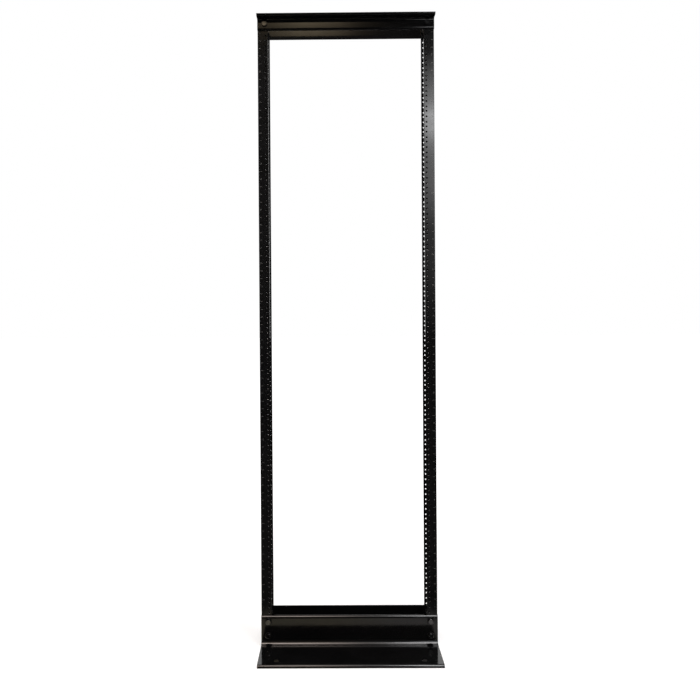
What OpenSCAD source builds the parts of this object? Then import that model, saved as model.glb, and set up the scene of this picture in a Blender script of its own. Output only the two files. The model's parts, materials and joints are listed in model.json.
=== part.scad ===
// Two-post open frame equipment rack.
//
// Two channel uprights stand web outwards, with a column of tapped equipment holes in each
// flange. A pair of unequal angles bolted across their feet stands the rack on the floor, and
// a pair of equal angles bolted across their heads ties them together.
//
// X runs across the rack, Y from front to back and Z up. The origin is on the floor at the
// centre of the rack. All sizes are in millimetres.

/* [Frame] */
// Rack units between the base angles and the top angles
rack_units = 38; // [12:1:45]
// Clear opening between the uprights
opening_w = 450.85; // [440:0.05:610]
// Gap between the top rack unit and the top angles
top_gap = 6.35; // [0:0.05:40]

/* [Uprights] */
// Depth of the channel, over its two flanges
channel_depth = 76.2; // [64:0.1:160]
// Width of a flange, over the web
flange_w = 30.16; // [28:0.005:50]
// Thickness of the channel's web
web_t = 4.76; // [3:0.01:6.5]
// Thickness of the channel's flanges
flange_t = 4.76; // [3:0.01:6.5]
// Radius of the channel's outer corners
channel_corner_r = 1.6; // [0.8:0.1:2.4]
// Radius of the fillets inside the channel
channel_fillet_r = 3.2; // [1:0.1:4]
// Radius of the rounded flange tips
flange_tip_r = 1.2; // [0.5:0.1:1.4]

/* [Equipment holes] */
// Height of one rack unit
unit_h = 44.45; // [44:0.05:45]
// Distance of a column of holes from the tips of its flanges
column_inset = 7.135; // [4.5:0.005:9]
// Diameter of the tapped holes
rail_hole_d = 5.5; // [4:0.1:6.5]
// Height of the first hole above the bottom of its unit
first_hole_rise = 6.35; // [5:0.05:7]
// Distance between neighbouring holes of one unit
hole_step = 15.875; // [15:0.005:16.5]
// Holes in one unit
holes_per_unit = 3; // [1:1:3]

/* [Base angles] */
// Width of the leg that lies on the floor
base_leg_w = 152.4; // [110:0.1:220]
// Height of the leg that is bolted to the uprights
base_leg_h = 88.9; // [74:0.1:140]
// Thickness of the base angle
base_t = 7.94; // [6:0.01:9.5]
// Radius of the fillet between the legs of the base angle
base_root_r = 12.7; // [4:0.1:16]

/* [Top angles] */
// Width of the leg that lies level with the tops of the uprights
top_leg_w = 38.1; // [25:0.1:60]
// Height of the leg that is bolted to the uprights
top_leg_h = 38.1; // [34:0.1:60]
// Thickness of the top angle
top_t = 6.35; // [4:0.01:7.5]
// Radius of the fillet between the legs of the top angle
top_root_r = 4.8; // [2:0.1:5.5]
// Flat edge left beside the rounded toe of each leg, on the base angles and the top angles
toe_land = 0.5; // [0.3:0.1:3]

/* [Floor holes] */
// Diameter of the holes for the floor anchors
floor_hole_d = 17.5; // [10:0.1:22]
// Distance of a floor hole from the end of its angle
floor_hole_end = 50.8; // [30:0.1:120]
// Distance of a floor hole from the toe of its angle
floor_hole_toe = 31.75; // [20:0.05:60]

/* [Assembly bolts] */
// Diameter of the bolts
bolt_d = 9.525; // [8:0.005:10.5]
// Length of a bolt under its head
bolt_len = 25.4; // [23:0.1:32]
// Width across the flats of a bolt's head
bolt_head_af = 14.29; // [13:0.01:16]
// Height of a bolt's head
bolt_head_h = 5.95; // [4:0.05:7]
// Width across the flats of a nut
nut_af = 14.29; // [13:0.01:16]
// Height of a nut
nut_h = 8.33; // [6:0.01:9]
// Outside diameter of a washer
washer_d = 20.6; // [18:0.1:22]
// Thickness of a washer
washer_t = 1.6; // [1:0.1:2.5]
// How much wider a bolt's hole is than the bolt
bolt_hole_clearance = 0.8; // [0.4:0.1:1.5]
// How much wider a nut's bore is than the bolt
nut_bore_clearance = 0.1; // [0.05:0.05:0.3]
// Distance of the bolts from the tips of the flanges
bolt_inset = 9.525; // [8.5:0.005:11]
// Distance of the top bolts from the lower edge of the top angles
top_bolt_edge = 19.05; // [14:0.05:21]
// Distance of the upper base bolts from the upper edge of the base angles
base_bolt_edge = 16.5; // [12:0.1:22]
// Gap between a lower washer and the fillet of the base angle
washer_root_gap = 0.3; // [0.1:0.1:6]

/* [Hidden] */
// Width over the outsides of the uprights, and the height of their tops above the floor
frame_w = opening_w + 2 * flange_w;
frame_h = base_leg_h + rack_units * unit_h + top_gap + top_leg_h;
// Distance of a flange's outer face from the middle of the rack
face_y = channel_depth / 2;
// Diameters of the bolts' holes and of the nuts' bores
bolt_hole_d = bolt_d + bolt_hole_clearance;
nut_bore_d = bolt_d + nut_bore_clearance;
// Distance of the hole columns and of the bolts from the middle of the rack
column_x = opening_w / 2 + column_inset;
bolt_x = opening_w / 2 + bolt_inset;
// Heights of the bolts above the floor
base_bolt_low = base_t + base_root_r + washer_root_gap + washer_d / 2;
base_bolt_high = base_leg_h - base_bolt_edge;
top_bolt_z = frame_h - top_leg_h + top_bolt_edge;
// Places of the floor holes
floor_hole_x = frame_w / 2 - floor_hole_end;
floor_hole_y = face_y + base_leg_w - floor_hole_toe;
// Height of the chamfer's cone as a share of the width that it trims from a hexagon's corners
chamfer_slope = tan(30);
// How far a cutting shape runs past the surface that it cuts
cut = 1;
$fn = 48;

LEFT = -1;
RIGHT = 1;
FRONT = -1;
REAR = 1;

// ---- Outlines ----

// The bit of a square corner that lies outside an arc of radius r. It rounds a corner at the
// origin when it is cut away, and fills one with a fillet when it is added.
module corner_bit(r) {
    difference() {
        translate([-cut, -cut]) square(r + cut);
        translate([r, r]) circle(r);
    }
}

// A channel lying on its web: x from the web's outer face to the flange tips, y across the
// depth.
module channel_outline() {
    module inner_corner(side) {
        translate([web_t, side * (face_y - flange_t)])
            mirror([0, side > 0 ? 1 : 0])
                corner_bit(channel_fillet_r);
    }
    module outer_corner(side) {
        translate([0, side * face_y])
            mirror([0, side > 0 ? 1 : 0])
                corner_bit(channel_corner_r);
    }
    module tip_corner(side, edge_y) {
        translate([flange_w, side * edge_y])
            mirror([1, 0])
                mirror([0, side > 0 ? 1 : 0])
                    corner_bit(flange_tip_r);
    }
    difference() {
        union() {
            difference() {
                translate([0, -face_y]) square([flange_w, channel_depth]);
                translate([web_t, flange_t - face_y])
                    square([flange_w, channel_depth - 2 * flange_t]);
            }
            inner_corner(FRONT);
            inner_corner(REAR);
        }
        outer_corner(FRONT);
        outer_corner(REAR);
        tip_corner(FRONT, face_y);
        tip_corner(REAR, face_y);
    }
}

// A rolled angle with its heel at the origin: one leg along x, the other along y. The inner
// edge of each toe is rounded over nearly the whole thickness.
module angle_outline(leg_x, leg_y, t, root_r) {
    toe_r = t - toe_land;
    difference() {
        union() {
            square([leg_x, t]);
            square([t, leg_y]);
            translate([t, t]) corner_bit(root_r);
        }
        translate([leg_x, t]) mirror([1, 0]) mirror([0, 1]) corner_bit(toe_r);
        translate([t, leg_y]) mirror([1, 0]) mirror([0, 1]) corner_bit(toe_r);
    }
}

// ---- Members ----

// A row of holes through the whole depth of a channel.
module rail_holes() {
    for (unit = [0 : rack_units - 1], hole = [0 : holes_per_unit - 1])
        translate([0, 0, base_leg_h + unit * unit_h + first_hole_rise + hole * hole_step])
            rotate([90, 0, 0])
                cylinder(h = channel_depth + 2 * cut, d = rail_hole_d, center = true);
}

// The holes for the assembly bolts through the whole depth of a channel.
module upright_bolt_holes() {
    for (z = [base_bolt_low, base_bolt_high, top_bolt_z])
        translate([0, 0, z])
            rotate([90, 0, 0])
                cylinder(h = channel_depth + 2 * cut, d = bolt_hole_d, center = true);
}

module upright(side) {
    color([0.055, 0.055, 0.06])
        difference() {
            mirror([side > 0 ? 1 : 0, 0, 0])
                translate([-frame_w / 2, 0, 0])
                    linear_extrude(frame_h) channel_outline();
            translate([side * column_x, 0, 0]) rail_holes();
            translate([side * bolt_x, 0, 0]) upright_bolt_holes();
        }
}

// Turns an outline drawn in (outwards, upwards) into a bar across the rack, with its heel on
// the flanges' outer faces.
module bar_across(end) {
    mirror([0, end < 0 ? 1 : 0, 0])
        translate([-frame_w / 2, face_y, 0])
            rotate([90, 0, 90])
                linear_extrude(frame_w) children();
}

// A pair of bolt holes through the standing leg of an angle of thickness t.
module leg_bolt_holes(end, t, z) {
    for (side = [LEFT, RIGHT])
        translate([side * bolt_x, end * (face_y + t / 2), z])
            rotate([90, 0, 0])
                cylinder(h = t + 2 * cut, d = bolt_hole_d, center = true);
}

module base_angle(end) {
    color([0.05, 0.05, 0.055])
        difference() {
            bar_across(end) angle_outline(base_leg_w, base_leg_h, base_t, base_root_r);
            leg_bolt_holes(end, base_t, base_bolt_low);
            leg_bolt_holes(end, base_t, base_bolt_high);
            for (side = [LEFT, RIGHT])
                translate([side * floor_hole_x, end * floor_hole_y, -cut])
                    cylinder(h = base_t + 2 * cut, d = floor_hole_d);
        }
}

module top_angle(end) {
    color([0.05, 0.05, 0.055])
        difference() {
            translate([0, 0, frame_h])
                mirror([0, 0, 1])
                    bar_across(end) angle_outline(top_leg_w, top_leg_h, top_t, top_root_r);
            leg_bolt_holes(end, top_t, top_bolt_z);
        }
}

// ---- Bolts, washers and nuts ----

// A hexagonal prism along z whose corners are trimmed at the top, as on a hex head.
module chamfered_hex(af, h) {
    corner_r = af / 2 / cos(30);
    full_r = af / 2;
    trim_h = (corner_r - full_r) * chamfer_slope;
    intersection() {
        cylinder(h = h, r = corner_r, $fn = 6);
        union() {
            cylinder(h = h - trim_h, r = corner_r + cut);
            translate([0, 0, h - trim_h])
                cylinder(h = trim_h, r1 = corner_r, r2 = full_r);
        }
    }
}

// A hex bolt pointing down, with the underside of its head at z = 0.
module hex_bolt() {
    chamfered_hex(bolt_head_af, bolt_head_h);
    translate([0, 0, -bolt_len]) cylinder(h = bolt_len, d = bolt_d);
}

// A hex nut with its seat at z = 0, standing up.
module hex_nut() {
    difference() {
        chamfered_hex(nut_af, nut_h);
        translate([0, 0, -cut]) cylinder(h = nut_h + 2 * cut, d = nut_bore_d);
    }
}

module flat_washer() {
    difference() {
        cylinder(h = washer_t, d = washer_d);
        translate([0, 0, -cut]) cylinder(h = washer_t + 2 * cut, d = bolt_hole_d);
    }
}

// Puts a piece that points up z on a face of the rack, y from the middle, pointing outwards.
module facing_out(end, side, y, z) {
    translate([side * bolt_x, end * y, z])
        rotate([end < 0 ? 90 : -90, 0, 0])
            children();
}

// The same, but pointing inwards.
module facing_in(end, side, y, z) {
    translate([side * bolt_x, end * y, z])
        rotate([end < 0 ? -90 : 90, 0, 0])
            children();
}

module top_bolt(end, side) {
    color([0.16, 0.16, 0.17])
        facing_out(end, side, face_y + top_t, top_bolt_z) hex_bolt();
}

module base_bolt(end, side, z) {
    color([0.16, 0.16, 0.17])
        facing_out(end, side, face_y + base_t + washer_t, z) hex_bolt();
}

module base_washer(end, side, z) {
    color([0.12, 0.12, 0.13])
        facing_out(end, side, face_y + base_t, z) flat_washer();
}

module flange_nut(end, side, z) {
    color([0.16, 0.16, 0.17])
        facing_in(end, side, face_y - flange_t, z) hex_nut();
}

// ---- Assembly ----

upright(LEFT);  // upright_left
upright(RIGHT);  // upright_right
base_angle(FRONT);  // base_angle_front
base_angle(REAR);  // base_angle_rear
top_angle(FRONT);  // top_angle_front
top_angle(REAR);  // top_angle_rear
top_bolt(FRONT, LEFT);  // top_bolt_front_left
top_bolt(FRONT, RIGHT);  // top_bolt_front_right
top_bolt(REAR, LEFT);  // top_bolt_rear_left
top_bolt(REAR, RIGHT);  // top_bolt_rear_right
flange_nut(FRONT, LEFT, top_bolt_z);  // top_nut_front_left
flange_nut(FRONT, RIGHT, top_bolt_z);  // top_nut_front_right
flange_nut(REAR, LEFT, top_bolt_z);  // top_nut_rear_left
flange_nut(REAR, RIGHT, top_bolt_z);  // top_nut_rear_right
base_bolt(FRONT, LEFT, base_bolt_low);  // base_bolt_front_left_low
base_bolt(FRONT, LEFT, base_bolt_high);  // base_bolt_front_left_high
base_bolt(FRONT, RIGHT, base_bolt_low);  // base_bolt_front_right_low
base_bolt(FRONT, RIGHT, base_bolt_high);  // base_bolt_front_right_high
base_bolt(REAR, LEFT, base_bolt_low);  // base_bolt_rear_left_low
base_bolt(REAR, LEFT, base_bolt_high);  // base_bolt_rear_left_high
base_bolt(REAR, RIGHT, base_bolt_low);  // base_bolt_rear_right_low
base_bolt(REAR, RIGHT, base_bolt_high);  // base_bolt_rear_right_high
base_washer(FRONT, LEFT, base_bolt_low);  // base_washer_front_left_low
base_washer(FRONT, LEFT, base_bolt_high);  // base_washer_front_left_high
base_washer(FRONT, RIGHT, base_bolt_low);  // base_washer_front_right_low
base_washer(FRONT, RIGHT, base_bolt_high);  // base_washer_front_right_high
base_washer(REAR, LEFT, base_bolt_low);  // base_washer_rear_left_low
base_washer(REAR, LEFT, base_bolt_high);  // base_washer_rear_left_high
base_washer(REAR, RIGHT, base_bolt_low);  // base_washer_rear_right_low
base_washer(REAR, RIGHT, base_bolt_high);  // base_washer_rear_right_high
flange_nut(FRONT, LEFT, base_bolt_low);  // base_nut_front_left_low
flange_nut(FRONT, LEFT, base_bolt_high);  // base_nut_front_left_high
flange_nut(FRONT, RIGHT, base_bolt_low);  // base_nut_front_right_low
flange_nut(FRONT, RIGHT, base_bolt_high);  // base_nut_front_right_high
flange_nut(REAR, LEFT, base_bolt_low);  // base_nut_rear_left_low
flange_nut(REAR, LEFT, base_bolt_high);  // base_nut_rear_left_high
flange_nut(REAR, RIGHT, base_bolt_low);  // base_nut_rear_right_low
flange_nut(REAR, RIGHT, base_bolt_high);  // base_nut_rear_right_high
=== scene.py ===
# A two-post open frame equipment rack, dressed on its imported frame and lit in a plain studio.

import json
import math

import bmesh
import bpy
import numpy as np
from mathutils import Matrix, Vector


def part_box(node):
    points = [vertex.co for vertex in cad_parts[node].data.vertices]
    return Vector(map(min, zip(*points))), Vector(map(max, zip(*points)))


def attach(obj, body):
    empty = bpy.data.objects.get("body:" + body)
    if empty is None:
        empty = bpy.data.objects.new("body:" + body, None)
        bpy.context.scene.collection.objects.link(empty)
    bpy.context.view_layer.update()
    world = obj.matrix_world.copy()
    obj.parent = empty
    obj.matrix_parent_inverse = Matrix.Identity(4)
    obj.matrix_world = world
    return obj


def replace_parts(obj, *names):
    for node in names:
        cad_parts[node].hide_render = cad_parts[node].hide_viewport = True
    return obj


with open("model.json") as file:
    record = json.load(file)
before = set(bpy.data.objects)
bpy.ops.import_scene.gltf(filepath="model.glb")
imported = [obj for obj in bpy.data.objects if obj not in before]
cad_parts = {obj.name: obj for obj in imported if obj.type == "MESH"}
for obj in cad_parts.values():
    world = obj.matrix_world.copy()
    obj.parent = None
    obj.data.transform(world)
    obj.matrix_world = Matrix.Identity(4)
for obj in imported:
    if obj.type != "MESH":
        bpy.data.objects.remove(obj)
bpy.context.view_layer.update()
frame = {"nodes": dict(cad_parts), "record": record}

MM = 0.001
INCH = 25.4 * MM
UNIT = 44.45 * MM  # one rack unit
HOLES_PER_UNIT = 3
FLANGE_T = 4.76 * MM
TAP_PITCH = INCH / 24
BOLT_D = 9.525 * MM
BOLT_PITCH = INCH / 16
BOLT_LENGTH = 25.4 * MM
INK_T = 0.04 * MM
SIDES = {"left": -1, "right": 1}
ENDS = {"front": -1, "rear": 1}
WHITE = (1.0, 1.0, 1.0)


# ---- Node helpers ----

def add(tree, kind, inputs=None, **settings):
    """A new node with its settings made, its sockets filled with plain values or other nodes' outputs."""
    node = tree.nodes.new(kind)
    for key, value in settings.items():
        setattr(node, key, value)
    for key, value in (inputs or {}).items():
        if isinstance(value, bpy.types.NodeSocket):
            tree.links.new(value, node.inputs[key])
        else:
            node.inputs[key].default_value = value
    return node


def math_node(tree, operation, a, b=0.0):
    return add(tree, "ShaderNodeMath", {0: a, 1: b}, operation=operation).outputs[0]


def smooth_range(tree, value, low, high, to_low=0.0, to_high=1.0):
    """value taken smoothly from low..high to to_low..to_high, held at both ends."""
    inputs = {"Value": value, "From Min": low, "From Max": high, "To Min": to_low, "To Max": to_high}
    return add(tree, "ShaderNodeMapRange", inputs, interpolation_type="SMOOTHSTEP").outputs[0]


def noise(tree, where, scale, detail=2.0, roughness=0.5):
    inputs = {"Vector": where, "Scale": scale, "Detail": detail, "Roughness": roughness}
    return add(tree, "ShaderNodeTexNoise", inputs).outputs["Fac"]


def blend(tree, share, low, high):
    """The colour low where the share is 0, high where it is 1, and between them elsewhere."""
    inputs = {"Factor": share, "A": (*low, 1), "B": (*high, 1)}
    return add(tree, "ShaderNodeMix", inputs, data_type="RGBA").outputs["Result"]


def distance(tree, where):
    return add(tree, "ShaderNodeVectorMath", {0: where}, operation="LENGTH").outputs["Value"]


def new_material(name):
    """A material, with its tree, its shader and its place in the object's own space."""
    material = bpy.data.materials.new(name)
    material.use_nodes = True
    tree = material.node_tree
    where = add(tree, "ShaderNodeTexCoord").outputs["Object"]
    return material, tree, tree.nodes["Principled BSDF"], where


def soften_and_bump(tree, shader, radius, height, strength, depth):
    """Rounds the edges in the shading and lays the height over them."""
    soft_edge = add(tree, "ShaderNodeBevel", {"Radius": radius}, samples=4).outputs[0]
    inputs = {"Height": height, "Strength": strength, "Distance": depth, "Normal": soft_edge}
    tree.links.new(add(tree, "ShaderNodeBump", inputs).outputs[0], shader.inputs["Normal"])


# ---- Materials ----

def powder_coat(name, low, high, gloss_low, gloss_high):
    """Smooth black powder coat: a faint orange peel, slight clouds, and patches rubbed a little duller."""
    material, tree, shader, where = new_material(name)
    clouds = smooth_range(tree, noise(tree, where, 9.0, 4.0, 0.6), 0.3, 0.7)
    tree.links.new(blend(tree, clouds, low, high), shader.inputs["Base Color"])

    handled = smooth_range(tree, noise(tree, where, 37.0, 5.0, 0.65), 0.3, 0.75, gloss_low, gloss_high)
    grain = math_node(tree, "MULTIPLY", noise(tree, where, 1900.0, 2.0), 0.015)
    tree.links.new(math_node(tree, "ADD", handled, grain), shader.inputs["Roughness"])

    peel = noise(tree, where, 520.0, 1.0)
    fine = math_node(tree, "MULTIPLY", noise(tree, where, 2300.0, 2.0), 0.18)
    soften_and_bump(tree, shader, 0.5 * MM, math_node(tree, "ADD", peel, fine), 0.22, 0.03 * MM)
    shader.inputs["IOR"].default_value = 1.5
    return material


def dark_steel(name, low, high, gloss_low, gloss_high):
    """Black oxide on steel: oily dark metal with a mottled tone and fine tool marks."""
    material, tree, shader, where = new_material(name)
    mottle = smooth_range(tree, noise(tree, where, 420.0, 4.0, 0.6), 0.3, 0.7)
    tree.links.new(blend(tree, mottle, low, high), shader.inputs["Base Color"])
    shader.inputs["Metallic"].default_value = 1.0
    rough = smooth_range(tree, noise(tree, where, 900.0, 3.0), 0.3, 0.7, gloss_low, gloss_high)
    tree.links.new(rough, shader.inputs["Roughness"])
    soften_and_bump(tree, shader, 0.15 * MM, noise(tree, where, 1500.0, 3.0), 0.25, 0.05 * MM)
    return material


def tapped_metal():
    """Bare metal that the tap left in the holes, dulled by the coat's overspray."""
    material, tree, shader, where = new_material("tapped_metal")
    overspray = smooth_range(tree, noise(tree, where, 800.0, 3.0), 0.42, 0.62)
    colour = blend(tree, overspray, (0.19, 0.19, 0.195), (0.03, 0.03, 0.031))
    tree.links.new(colour, shader.inputs["Base Color"])
    shader.inputs["Metallic"].default_value = 1.0
    tree.links.new(smooth_range(tree, overspray, 0.0, 1.0, 0.3, 0.5), shader.inputs["Roughness"])
    return material


def printed_ink():
    """Thin grey ink, a little patchy where it was screened on."""
    material, tree, shader, where = new_material("printed_ink")
    patchy = smooth_range(tree, noise(tree, where, 1600.0, 3.0), 0.3, 0.65)
    colour = blend(tree, patchy, (0.07, 0.07, 0.07), (0.17, 0.17, 0.165))
    tree.links.new(colour, shader.inputs["Base Color"])
    tree.links.new(smooth_range(tree, patchy, 0.0, 1.0, 0.5, 0.38), shader.inputs["Roughness"])
    return material


# ---- Mesh helpers ----

def finish_piece(name, mesh, material, place=None, sharp=25):
    """Makes the object, smooths all but its sharp edges, and gives it to the rack's body."""
    mesh.materials.append(material)
    mesh.shade_smooth()
    mesh.set_sharp_from_angle(angle=math.radians(sharp))
    piece = bpy.data.objects.new(name, mesh)
    bpy.context.scene.collection.objects.link(piece)
    if place is not None:
        piece.matrix_world = place
    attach(piece, "root")
    return piece


def turned_mesh(name, rings, steps=48, closed=False):
    """A skin over rings round the z axis, where a ring gives (radius, height) for an angle.

    An open skin gets flat caps. A closed one joins its last ring to its first."""
    verts = []
    for ring in rings:
        for k in range(steps):
            angle = 2 * math.pi * k / steps
            r, h = ring(angle)
            verts.append((r * math.cos(angle), r * math.sin(angle), h))
    faces = []
    count = len(rings)
    for i in range(count if closed else count - 1):
        a = i * steps
        b = (i + 1) % count * steps
        for k in range(steps):
            j = (k + 1) % steps
            faces.append((a + k, a + j, b + j, b + k))
    if not closed:
        faces.append(tuple(range(steps))[::-1])
        faces.append(tuple((count - 1) * steps + k for k in range(steps)))
    mesh = bpy.data.meshes.new(name)
    mesh.from_pydata(verts, [], faces)
    mesh.update()
    return mesh


def circle(r, h):
    return lambda angle: (r, h)


def hexagon(flats, angle):
    """Radius of a hexagon, given its width across the flats, at an angle."""
    return flats / 2 / math.cos((angle + math.pi / 6) % (math.pi / 3) - math.pi / 6)


def hex_ring(flats, h):
    return lambda angle: (hexagon(flats, angle), h)


def hex_chamfer_ring(flats, crown_r, h, way):
    """Where a hexagon's sides meet the 30 degree cone that trims its corners.

    way is 1 at the top and -1 at the bottom."""
    def ring(angle):
        r = hexagon(flats, angle)
        return r, h - way * (r - crown_r) * math.tan(math.radians(30))
    return ring


def thread_ring(major, depth, pitch, h):
    """One level of a threaded rod, seen as a radius that swings once per turn."""
    def ring(angle):
        phase = (h / pitch - angle / (2 * math.pi)) % 1
        swing = min(max(abs(phase - 0.5) * 8 / 3 - 1 / 6, 0), 1)
        return major / 2 - depth * swing, h
    return ring


# ---- Bolts, nuts and washers ----

def shank_rings():
    """The bolt's shank from its tip up to its head: a tapered tip, a rolled thread and a plain neck."""
    depth = 0.6 * BOLT_PITCH
    thread_top = 14.0 * MM
    tip = 1.0 * MM
    threaded = BOLT_LENGTH - thread_top - tip
    steps = int(threaded / BOLT_PITCH * 8)
    rings = [circle(0.6 * BOLT_D / 2, -BOLT_LENGTH), circle(BOLT_D / 2 - depth, -BOLT_LENGTH)]
    for k in range(steps + 1):
        h = -BOLT_LENGTH + tip + threaded * k / steps
        rings.append(thread_ring(BOLT_D, depth, BOLT_PITCH, h))
    return rings + [circle(BOLT_D / 2, -thread_top + 1.0 * MM), circle(BOLT_D / 2, 0)]


def bolt_mesh(flats, head_h):
    """A hex bolt along z, the underside of its head at 0, with trimmed corners and a dished head."""
    crown_r = 0.475 * flats
    face_r = 0.47 * flats
    face_h = 0.35 * MM
    head_rings = [
        circle(face_r, 0),
        circle(face_r, face_h),
        hex_ring(flats * 0.985, face_h),
        hex_ring(flats, 0.6 * MM),
        hex_chamfer_ring(flats, crown_r, head_h, 1),
        circle(crown_r, head_h),
        circle(0.72 * crown_r, head_h - 0.03 * MM),
        circle(0.66 * crown_r, head_h - 0.3 * MM),
        circle(0.2 * crown_r, head_h - 0.33 * MM),
    ]
    return turned_mesh("hex_bolt", shank_rings() + head_rings)


def nut_mesh(flats, height):
    """A hex nut along z from 0, its corners trimmed at both ends and its bore countersunk."""
    crown_r = 0.475 * flats
    bore_r = BOLT_D / 2 + 0.04 * MM
    sink_r = bore_r + 0.7 * MM
    sink_h = 0.8 * MM
    rings = [
        circle(bore_r, sink_h),
        circle(sink_r, 0),
        circle(crown_r, 0),
        hex_chamfer_ring(flats, crown_r, 0, -1),
        hex_chamfer_ring(flats, crown_r, height, 1),
        circle(crown_r, height),
        circle(sink_r, height),
        circle(bore_r, height - sink_h),
    ]
    return turned_mesh("hex_nut", rings, closed=True)


def washer_mesh(outer_r, inner_r, thick):
    """A stamped flat washer along z from 0, rolled over at both rims where the punch came in."""
    roll = 0.45 * MM
    bore_roll = 0.6 * roll
    burr = 0.1 * MM
    quarter = [math.radians(22.5 * k) for k in range(5)]
    rings = [circle(inner_r, 0), circle(outer_r - burr, 0), circle(outer_r, burr)]
    for turn in quarter:
        rings.append(circle(outer_r - roll + roll * math.cos(turn), thick - roll + roll * math.sin(turn)))
    for turn in reversed(quarter):
        r = inner_r + bore_roll - bore_roll * math.cos(turn)
        rings.append(circle(r, thick - bore_roll + bore_roll * math.sin(turn)))
    return turned_mesh("flat_washer", rings, closed=True)


def axis_place(x, y, z, outward, turn=0.0):
    """Stands a piece that was made along z at a point, so that it points along y, or along -y."""
    tilt = Matrix.Rotation(math.radians(-90 * outward), 4, "X")
    return Matrix.Translation((x, y, z)) @ tilt @ Matrix.Rotation(math.radians(turn), 4, "Z")


def nodes_with(kind):
    return sorted(name for name in frame["nodes"] if kind in name)


def end_of(name):
    return ENDS["front" if "_front_" in name else "rear"]


def replace_node(name, kind, mesh, steel, seat, outward, turn):
    """Puts a copy of the mesh at the seat, a height along y, in the place of a node of the frame."""
    low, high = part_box(name)
    place = axis_place((low.x + high.x) / 2, seat, (low.z + high.z) / 2, outward, turn)
    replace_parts(finish_piece(kind + name, mesh.copy(), steel, place), name)


def make_bolts(steel):
    """Bolts in the places of the plain ones, each turned by its own amount as a wrench leaves it."""
    names = nodes_with("_bolt_")
    low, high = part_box(names[0])
    mesh = bolt_mesh(high.z - low.z, high.y - low.y - BOLT_LENGTH)
    for k, name in enumerate(names):
        low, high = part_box(name)
        end = end_of(name)
        seat = low.y + BOLT_LENGTH if end > 0 else high.y - BOLT_LENGTH
        replace_node(name, "threaded_", mesh, steel, seat, end, turn=90 + 13 * k % 60)


def make_nuts(steel):
    """Nuts in the places of the plain ones, pointing inwards from the flanges they are drawn up to."""
    names = nodes_with("_nut_")
    low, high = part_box(names[0])
    mesh = nut_mesh(high.z - low.z, high.y - low.y)
    for k, name in enumerate(names):
        low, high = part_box(name)
        end = end_of(name)
        seat = high.y if end > 0 else low.y
        replace_node(name, "chamfered_", mesh, steel, seat, -end, turn=90 + 23 * k % 60)


def make_washers(steel):
    """Washers in the places of the plain ones, their rolled side outwards."""
    names = nodes_with("_washer_")
    low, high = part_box(names[0])
    mesh = washer_mesh((high.z - low.z) / 2, BOLT_D / 2 + 0.4 * MM, high.y - low.y)
    for k, name in enumerate(names):
        low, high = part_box(name)
        end = end_of(name)
        seat = low.y if end > 0 else high.y
        replace_node(name, "stamped_", mesh, steel, seat, end, turn=31 * k)


# ---- Threads in the equipment holes ----

def hole_columns():
    """Distance of the hole columns from the middle, the hole radius, and every hole's height."""
    mounts = {m["name"]: m for m in frame["record"]["mounts"]}
    bottom = mounts["equipment_holes_bottom_unit"]
    top = mounts["equipment_holes_top_unit"]
    first = bottom["pos_m"][2]
    units = round((top["pos_m"][2] - first) / UNIT) + 1
    dims = bottom["dims"]
    step = dims["spacing_y_mm"] * MM / (HOLES_PER_UNIT - 1)
    heights = [first + n * UNIT + k * step for n in range(units) for k in (-1, 0, 1)]
    return dims["spacing_x_mm"] * MM / 2, dims["hole_r_mm"] * MM, heights


def ridge_rows(hole_r):
    """The thread of one hole along z, from 0 to the flange's thickness, as rows of four points.

    A row runs over the ridge from root to root, and the ridge fades in and out at its two ends."""
    steps = 14
    root_r = hole_r + 0.02 * MM
    crest_r = hole_r - 0.48 * MM
    turns = FLANGE_T / TAP_PITCH - 1
    points = []
    for k in range(int(turns * steps) + 1):
        angle = 2 * math.pi * k / steps
        h = TAP_PITCH * (0.5 + k / steps)
        fade = min(1.0, 4 * k / steps, 4 * (turns - k / steps))
        r_in = hole_r + (crest_r - hole_r) * max(fade, 0.0)
        for r, dh in ((root_r, -0.44), (r_in, -0.08), (r_in, 0.08), (root_r, 0.44)):
            points.append((r * math.cos(angle), r * math.sin(angle), h + dh * TAP_PITCH))
    return np.array(points)


def ridge_faces(count):
    """The faces between the rows of a ridge of so many points."""
    rows = count // 4
    corners = [4 * i + j for i in range(rows - 1) for j in range(3)]
    return np.array([(c, c + 1, c + 5, c + 4) for c in corners])


def make_hole_threads(metal):
    """The tapped thread of every equipment hole, one piece for each upright."""
    column_x, hole_r, heights = hole_columns()
    ridge = ridge_rows(hole_r)
    across, up, along = ridge.T
    faces = ridge_faces(len(ridge))
    for side_name, side in SIDES.items():
        low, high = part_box("upright_" + side_name)
        verts = []
        quads = []
        for start in (low.y, high.y - FLANGE_T):
            for z in heights:
                quads.append(faces + len(ridge) * len(verts))
                verts.append(np.column_stack((side * column_x + across, start + along, z + up)))
        name = "hole_threads_" + side_name
        mesh = bpy.data.meshes.new(name)
        mesh.from_pydata(np.concatenate(verts).tolist(), [], np.concatenate(quads).tolist())
        mesh.update()
        finish_piece(name, mesh, metal, sharp=40)


# ---- Printed unit marks ----

def digit_meshes(size):
    """Thin raised outlines of the ten digits, centred on the origin."""
    digits = []
    for n in range(10):
        curve = bpy.data.curves.new(f"digit_{n}", "FONT")
        curve.body = str(n)
        curve.size = size
        curve.extrude = INK_T / 2
        curve.resolution_u = 3
        curve.align_x = "CENTER"
        curve.align_y = "CENTER"
        holder = bpy.data.objects.new(curve.name, curve)
        bpy.context.scene.collection.objects.link(holder)
        bpy.context.view_layer.update()
        shown = holder.evaluated_get(bpy.context.evaluated_depsgraph_get())
        digits.append(bpy.data.meshes.new_from_object(shown))
        bpy.data.objects.remove(holder)
        bpy.data.curves.remove(curve)
    return digits


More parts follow.
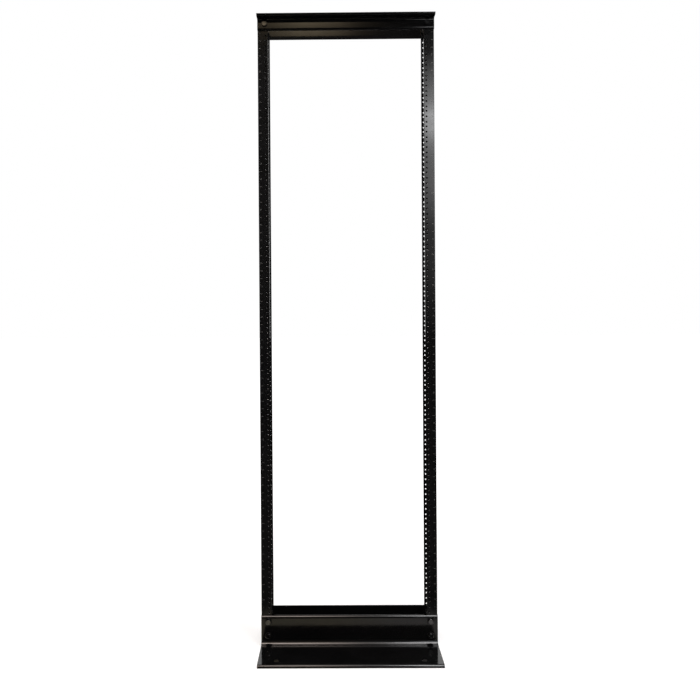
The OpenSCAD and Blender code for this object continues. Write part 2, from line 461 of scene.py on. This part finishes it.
def print_number(marks, digits, number, stand, z, advance):
    """Adds a number's digits side by side, centred at a height z on the face that stand turns to."""
    text = str(number)
    for k, letter in enumerate(text):
        shift = (k - (len(text) - 1) / 2) * advance
        start = len(marks.verts)
        marks.from_mesh(digits[int(letter)])
        marks.verts.ensure_lookup_table()
        move = stand @ Matrix.Translation((shift, z, 0))
        bmesh.ops.transform(marks, matrix=move, verts=marks.verts[start:])


def make_unit_marks(ink):
    """A tick at each unit boundary and the unit's number between, on the outer part of every flange."""
    unit_middles = hole_columns()[2][1::HOLES_PER_UNIT]
    size = 5.6 * MM
    tick = Matrix.Diagonal((6.4 * MM, 0.8 * MM, INK_T, 1))
    inset = 6.7 * MM
    digits = digit_meshes(size)
    for side_name, side in SIDES.items():
        low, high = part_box("upright_" + side_name)
        x = (high.x if side > 0 else low.x) - side * inset
        for end_name, end in ENDS.items():
            face = Matrix.Translation((x, high.y if end > 0 else low.y, 0))
            about = Matrix.Rotation(math.pi if end > 0 else 0, 4, "Z")
            stand = face @ about @ Matrix.Rotation(math.pi / 2, 4, "X")
            marks = bmesh.new()
            for n, z in enumerate(unit_middles, 1):
                print_number(marks, digits, n, stand, z, 0.56 * size)
                top = Matrix.Translation((0, z + UNIT / 2, 0))
                bmesh.ops.create_cube(marks, size=1, matrix=stand @ top @ tick)
            mesh = bpy.data.meshes.new("marks")
            marks.to_mesh(mesh)
            marks.free()
            finish_piece(f"unit_marks_{end_name}_{side_name}", mesh, ink, sharp=30)


# ---- Coats on the carried-over bars ----

def coat_bars():
    """The uprights' coat is a shade lighter than the angles'."""
    gloss = (0.08, 0.12)
    upright = powder_coat("upright_powder_coat", (0.0050, 0.0050, 0.0053), (0.0075, 0.0075, 0.0080), *gloss)
    angle = powder_coat("angle_powder_coat", (0.0026, 0.0026, 0.0028), (0.0042, 0.0042, 0.0045), *gloss)
    for kind, coat in (("upright_", upright), ("_angle_", angle)):
        for name in nodes_with(kind):
            materials = frame["nodes"][name].data.materials
            materials.clear()
            materials.append(coat)


# ---- Studio ----

def floor_colour(tree, path, where):
    """Light grey. Only the gloss sees painted light on it: a painted warm tint on the left, and painted
    shade that darkens it away from the rack's base.
    """
    grey = 0.62
    glossy = path.outputs["Is Glossy Ray"]
    squashed = add(tree, "ShaderNodeVectorMath", {0: where, 1: (0.72, 1, 1)}, operation="MULTIPLY")
    beside = distance(tree, squashed.outputs["Vector"])
    # painted shade: to the gloss the floor darkens from about 0.3 m away from the base
    painted_far_shade = math_node(tree, "MULTIPLY", glossy, smooth_range(tree, beside, 0.28, 0.4, 0.0, 0.97))
    red = math_node(tree, "SUBTRACT", grey, math_node(tree, "MULTIPLY", painted_far_shade, grey))
    along = add(tree, "ShaderNodeSeparateXYZ", {0: where}).outputs["X"]
    # painted warm light: to the gloss the floor's left side is tinted warm
    warm = math_node(tree, "MULTIPLY", glossy, smooth_range(tree, along, -0.1, 0.22, 1.0, 0.0))
    channels = {0: red}
    for channel, loss in ((1, 0.05), (2, 0.27)):
        kept = math_node(tree, "SUBTRACT", 1.0, math_node(tree, "MULTIPLY", warm, loss))
        channels[channel] = math_node(tree, "MULTIPLY", red, kept)
    return add(tree, "ShaderNodeCombineColor", channels).outputs[0]


def make_floor():
    """A floor that the camera sees as white, apart from the rack's shadow."""
    below = 0.3 * MM
    bpy.ops.mesh.primitive_plane_add(size=60, location=(0, 0, -below))
    floor = bpy.context.object
    floor.name = "studio_floor"
    material = bpy.data.materials.new("studio_floor")
    material.use_nodes = True
    tree = material.node_tree
    tree.nodes.clear()
    path = add(tree, "ShaderNodeLightPath")
    where = add(tree, "ShaderNodeTexCoord").outputs["Object"]
    lit = add(tree, "ShaderNodeBsdfDiffuse", {"Color": floor_colour(tree, path, where)})
    fill = smooth_range(tree, distance(tree, where), 0.4, 2.0, 0.6, 1.0)
    seen = math_node(tree, "MULTIPLY", path.outputs["Is Camera Ray"], fill)
    glow = add(tree, "ShaderNodeEmission", {"Strength": seen})
    both = add(tree, "ShaderNodeAddShader", {0: lit.outputs[0], 1: glow.outputs[0]})
    add(tree, "ShaderNodeOutputMaterial", {"Surface": both.outputs[0]})
    floor.data.materials.append(material)


def make_world():
    """White to the camera. The gloss sees a white backdrop behind the rack and a dim room round it.

    The room has a soft ceiling, and its left half is a little warmer."""
    world = bpy.data.worlds.new("studio")
    bpy.context.scene.world = world
    world.use_nodes = True
    tree = world.node_tree
    tree.nodes.clear()
    path = add(tree, "ShaderNodeLightPath")
    glossy = path.outputs["Is Glossy Ray"]
    direction = add(tree, "ShaderNodeTexCoord").outputs["Generated"]
    toward = add(tree, "ShaderNodeSeparateXYZ", {0: direction})
    backdrop = smooth_range(tree, toward.outputs["Y"], 0.80, 0.90)
    ceiling = smooth_range(tree, toward.outputs["Z"], 0.35, 0.85, 0.025, 0.35)
    room = math_node(tree, "MAXIMUM", backdrop, ceiling)
    seen = math_node(tree, "MAXIMUM", path.outputs["Is Camera Ray"], path.outputs["Is Transmission Ray"])
    level = add(tree, "ShaderNodeMix", {"Factor": glossy, "A": 0.3, "B": room}).outputs["Result"]
    level = add(tree, "ShaderNodeMix", {"Factor": seen, "A": level, "B": 1.0}).outputs["Result"]
    leftward = smooth_range(tree, toward.outputs["X"], -0.07, 0.07, 1.0, 0.0)
    warm = math_node(tree, "MULTIPLY", leftward, math_node(tree, "SUBTRACT", glossy, backdrop))
    colour = blend(tree, warm, WHITE, (1.22, 1.04, 0.86))
    background = add(tree, "ShaderNodeBackground", {"Color": colour, "Strength": level})
    add(tree, "ShaderNodeOutputWorld", {"Surface": background.outputs[0]})


def lamp_profile(tree, along, stops):
    """Light level along one side of a soft box, from (share of the side, level) stops."""
    ramp = add(tree, "ShaderNodeValToRGB", {0: along})
    ramp.color_ramp.interpolation = "EASE"
    elements = ramp.color_ramp.elements
    while len(elements) < len(stops):
        elements.new(0.5)
    for element, (at, level) in zip(elements, stops):
        element.position = at
        element.color = (level, level, level, 1)
    return ramp.outputs[0]


EVEN = [(0.0, 0.0), (0.2, 1.0), (0.8, 1.0), (1.0, 0.0)]


def soft_lamp(name, centre, aim, size, radiance, colour, across=EVEN, up=EVEN, left_tint=WHITE):
    """A soft box whose light fades as its two profiles say, with a tint on its left part."""
    lamp = bpy.data.lights.new(name, "AREA")
    lamp.shape = "RECTANGLE"
    lamp.size, lamp.size_y = size
    lamp.energy = 4 * size[0] * size[1] * radiance
    lamp.color = colour
    lamp.use_nodes = True
    tree = lamp.node_tree
    glow = tree.nodes["Emission"]
    parametric = add(tree, "ShaderNodeNewGeometry").outputs["Parametric"]
    place = add(tree, "ShaderNodeSeparateXYZ", {0: parametric})
    level = math_node(tree, "MULTIPLY", lamp_profile(tree, place.outputs["X"], across),
                      lamp_profile(tree, place.outputs["Y"], up))
    tree.links.new(level, glow.inputs["Strength"])
    rightward = smooth_range(tree, place.outputs["X"], 0.48, 0.70)
    tree.links.new(blend(tree, rightward, left_tint, WHITE), glow.inputs["Color"])
    holder = bpy.data.objects.new(name, lamp)
    bpy.context.scene.collection.objects.link(holder)
    holder.location = centre
    holder.rotation_euler = (Vector(aim) - Vector(centre)).to_track_quat("-Z", "Y").to_euler()
    holder.visible_camera = False


def make_lamps():
    """A box overhead, a tall one at the front right, a weak warm one high at the front left, and four more.

    The four stand in pairs beside and behind the rack."""
    soft_lamp("overhead_box", (0, -1.2, 3.8), (0, -1.2, 0), (2.6, 1.3), 15.0, (1.0, 0.985, 0.99),
              across=[(0.0, 0.0), (0.12, 0.6), (0.33, 0.68), (0.41, 0.74), (0.46, 0.52), (0.60, 0.12),
                      (0.72, 1.0), (0.86, 1.0), (1.0, 0.0)],
              left_tint=(1.0, 0.86, 0.78))
    soft_lamp("right_box", (0.75, -2.64, 1.75), (0.75, 0, 1.75), (0.62, 1.7), 14.0, (0.98, 0.99, 1.0),
              up=[(0.0, 0.004), (0.25, 0.025), (0.34, 0.03), (0.43, 0.09), (0.48, 0.14), (0.60, 0.15),
                  (0.65, 0.24), (0.735, 0.68), (0.79, 0.26), (0.88, 0.13), (0.94, 0.05), (0.97, 0.0)])
    soft_lamp("left_box", (-0.45, -2.64, 3.0), (-0.45, 0, 3.0), (1.5, 0.6), 2.3, (1.0, 0.80, 0.52),
              across=[(0.0, 0.0), (0.3, 0.3), (0.5, 0.38), (0.67, 1.0), (0.80, 0.6), (0.88, 0.12),
                      (1.0, 0.0)],
              up=[(0.0, 0.0), (0.03, 0.5), (0.1, 1.0), (0.8, 0.8), (1.0, 0.0)])
    for name, side in SIDES.items():
        soft_lamp(f"{name}_side_box", (side * 3.0, 0.1, 1.5), (0, 0.1, 1.5), (1.2, 3.0), 1.2, WHITE,
                  up=[(0.0, 0.0), (0.3, 0.2), (0.6, 0.7), (0.8, 1.0), (1.0, 0.2)])
        soft_lamp(f"back_{name}_box", (side * 2.4, 1.6, 1.6), (0, 0, 1.0), (0.9, 2.0), 1.6, WHITE)


def make_camera():
    """Stands a little left of the middle, at half the rack's height, and looks nearly straight at it."""
    yaw = -0.00805
    pitch = -0.0041
    roll = -0.00653
    ahead = Vector((math.sin(yaw), math.cos(yaw), 0))
    forward = math.cos(pitch) * ahead + math.sin(pitch) * Vector((0, 0, 1))
    level = Vector((math.cos(yaw), -math.sin(yaw), 0))
    upright = level.cross(forward)
    right = math.cos(roll) * level + math.sin(roll) * upright
    up = math.cos(roll) * upright - math.sin(roll) * level
    camera = bpy.data.cameras.new("camera")
    camera.sensor_width = 36.0
    camera.lens = 41.357
    camera.shift_x = 0.0348
    camera.shift_y = -0.0476
    holder = bpy.data.objects.new("camera", camera)
    bpy.context.scene.collection.objects.link(holder)
    turn = Matrix((right, up, -forward)).transposed().to_4x4()
    holder.matrix_world = Matrix.Translation((-0.0445, -2.3716, 0.9649)) @ turn
    bpy.context.scene.camera = holder


# ---- The scene ----

def main():
    bpy.context.scene.view_settings.view_transform = "Standard"
    make_camera()
    make_floor()
    make_world()
    make_lamps()
    coat_bars()
    make_bolts(dark_steel("bolt_black_oxide", (0.09, 0.09, 0.092), (0.16, 0.16, 0.162), 0.09, 0.17))
    make_nuts(dark_steel("nut_black_oxide", (0.07, 0.07, 0.075), (0.13, 0.13, 0.135), 0.28, 0.42))
    make_washers(dark_steel("washer_black_oxide", (0.022, 0.022, 0.023), (0.045, 0.045, 0.047), 0.25, 0.4))
    make_hole_threads(tapped_metal())
    make_unit_marks(printed_ink())


main()
